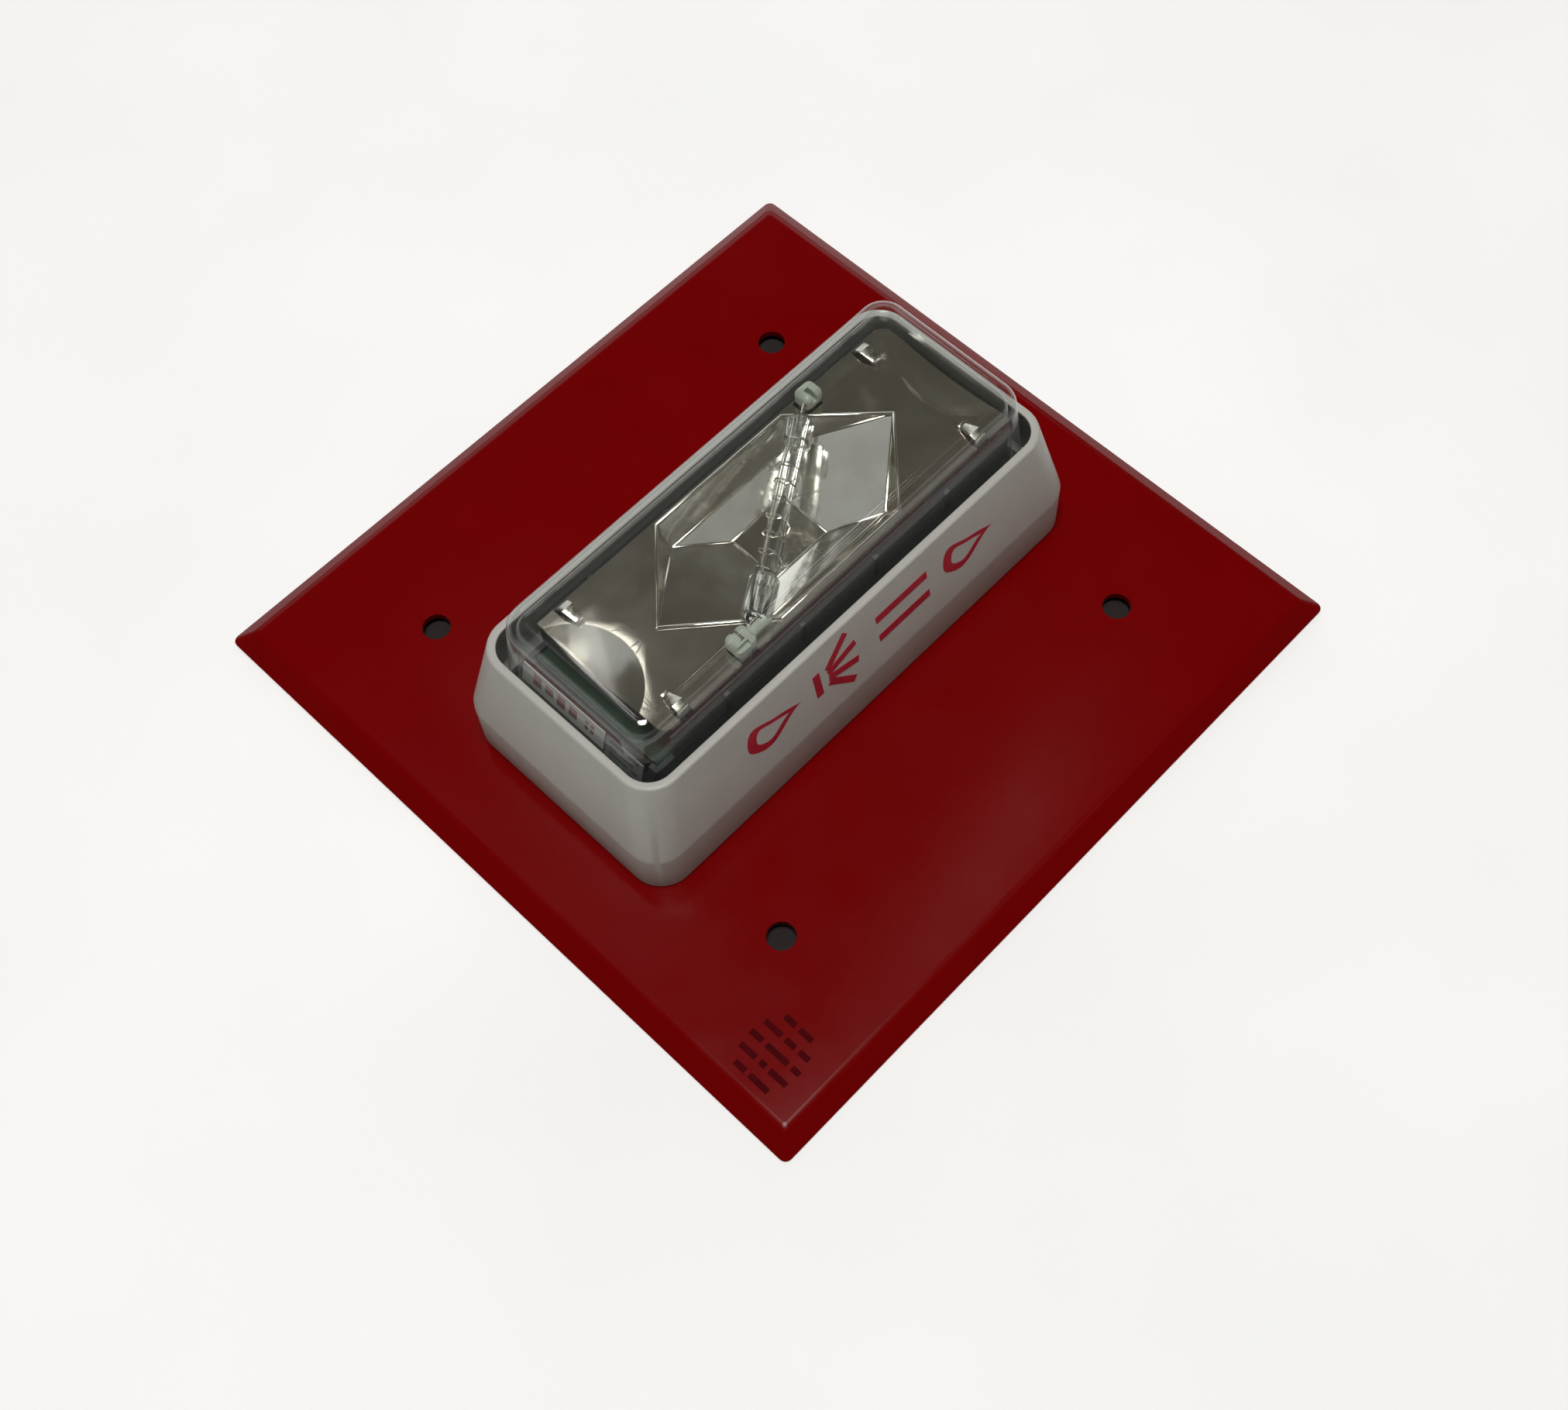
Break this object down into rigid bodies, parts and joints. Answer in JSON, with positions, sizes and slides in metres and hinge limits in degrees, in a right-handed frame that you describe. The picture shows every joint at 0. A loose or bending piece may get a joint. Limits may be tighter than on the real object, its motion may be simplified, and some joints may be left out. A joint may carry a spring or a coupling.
{
  "type": "fire alarm strobe light",
  "caption": "Square wall plate carrying a rectangular tapered bezel and a clear box lens over a faceted mirror reflector with a slanting flash tube.",
  "frame": {"origin": "centre of the square plate in the plane of its back edge, which lies on the wall", "axes": "+Z out of the wall towards the viewer, +X up when mounted (along the lens), +Y to the left seen from the front"},
  "size_m": [0.127, 0.127, 0.0367],
  "materials": {
    "red_enamel": "glossy red powder coat on folded sheet steel",
    "ivory_plastic": "satin moulded ABS in warm off-white",
    "clear_polycarbonate": "polished clear moulding",
    "grey_rubber": "matt die-cut sponge rubber",
    "charcoal_plastic": "moulded matt dark grey",
    "board_laminate": "green solder mask on glass-epoxy laminate",
    "mirror_film": "vacuum-metallised bright reflector",
    "tube_glass": "clear drawn borosilicate",
    "nickel_wire": "bright nickel",
    "milky_nylon": "translucent natural nylon",
    "white_label": "coated white label",
    "grey_sticker": "silver-grey film label",
    "capacitor_sleeve": "dark blue shrink sleeve",
    "ochre_tape": "ochre polyester tape and epoxy",
    "ferrite": "matt dark ferrite",
    "copper_wire": "enamelled copper winding",
    "black_epoxy": "moulded black epoxy",
    "tan_ceramic": "tan cement coating",
    "terminal_plastic": "moulded green polyamide",
    "zinc_steel": "zinc-plated steel"
  },
  "bodies": {
    "root": {"mounting_plate": "red_enamel", "bezel": "ivory_plastic", "lens": "clear_polycarbonate", "lens_gasket": "grey_rubber", "inner_housing": "charcoal_plastic", "circuit_board": "board_laminate", "insulating_sheet": "charcoal_plastic", "reflector": "mirror_film", "flash_tube": "tube_glass", "igniter_wire": "nickel_wire", "rating_label": "white_label", "serial_sticker": "grey_sticker", "storage_capacitor": "capacitor_sleeve", "trigger_transformer": "ochre_tape", "inductor_core": "ferrite", "inductor_winding": "copper_wire", "switching_transistor": "black_epoxy", "film_capacitor": "ochre_tape", "rectifier_diode": "black_epoxy", "bleed_resistor": "tan_ceramic", "terminal_block": "terminal_plastic", "reflector_clip_1": "nickel_wire", "bezel_screw_1": "zinc_steel", "reflector_clip_2": "nickel_wire", "bezel_screw_2": "zinc_steel", "reflector_clip_3": "nickel_wire", "bezel_screw_3": "zinc_steel", "reflector_clip_4": "nickel_wire", "bezel_screw_4": "zinc_steel", "electrode_1": "nickel_wire", "tube_holder_1": "milky_nylon", "electrode_2": "nickel_wire", "tube_holder_2": "milky_nylon"},
    "screw_1": {"terminal_screw_1": "zinc_steel"},
    "clamp_1": {"wire_clamp_1": "zinc_steel"},
    "screw_2": {"terminal_screw_2": "zinc_steel"},
    "clamp_2": {"wire_clamp_2": "zinc_steel"},
    "screw_3": {"terminal_screw_3": "zinc_steel"},
    "clamp_3": {"wire_clamp_3": "zinc_steel"},
    "screw_4": {"terminal_screw_4": "zinc_steel"},
    "clamp_4": {"wire_clamp_4": "zinc_steel"}
  },
  "joints": [
    {"name": "screw_1_turn", "type": "hinge", "parent": "root", "child": "screw_1", "pos_m": [-0.0313, -0.007, 0.0105], "axis": [0, 0, 1], "range_deg": [0, 1890]},
    {"name": "clamp_1_slide", "type": "slide", "parent": "root", "child": "clamp_1", "axis": [0, 0, -1], "range_m": [0, 0.003]},
    {"name": "screw_2_turn", "type": "hinge", "parent": "root", "child": "screw_2", "pos_m": [-0.0263, -0.007, 0.0105], "axis": [0, 0, 1], "range_deg": [0, 1890]},
    {"name": "clamp_2_slide", "type": "slide", "parent": "root", "child": "clamp_2", "axis": [0, 0, -1], "range_m": [0, 0.003]},
    {"name": "screw_3_turn", "type": "hinge", "parent": "root", "child": "screw_3", "pos_m": [-0.0213, -0.007, 0.0105], "axis": [0, 0, 1], "range_deg": [0, 1890]},
    {"name": "clamp_3_slide", "type": "slide", "parent": "root", "child": "clamp_3", "axis": [0, 0, -1], "range_m": [0, 0.003]},
    {"name": "screw_4_turn", "type": "hinge", "parent": "root", "child": "screw_4", "pos_m": [-0.0163, -0.007, 0.0105], "axis": [0, 0, 1], "range_deg": [0, 1890]},
    {"name": "clamp_4_slide", "type": "slide", "parent": "root", "child": "clamp_4", "axis": [0, 0, -1], "range_m": [0, 0.003]}
  ],
  "couplings": [
    {"joint": "screw_1_turn", "follows": "clamp_1_slide", "rad_per_m": 10996},
    {"joint": "screw_2_turn", "follows": "clamp_2_slide", "rad_per_m": 10996},
    {"joint": "screw_3_turn", "follows": "clamp_3_slide", "rad_per_m": 10996},
    {"joint": "screw_4_turn", "follows": "clamp_4_slide", "rad_per_m": 10996}
  ]
}
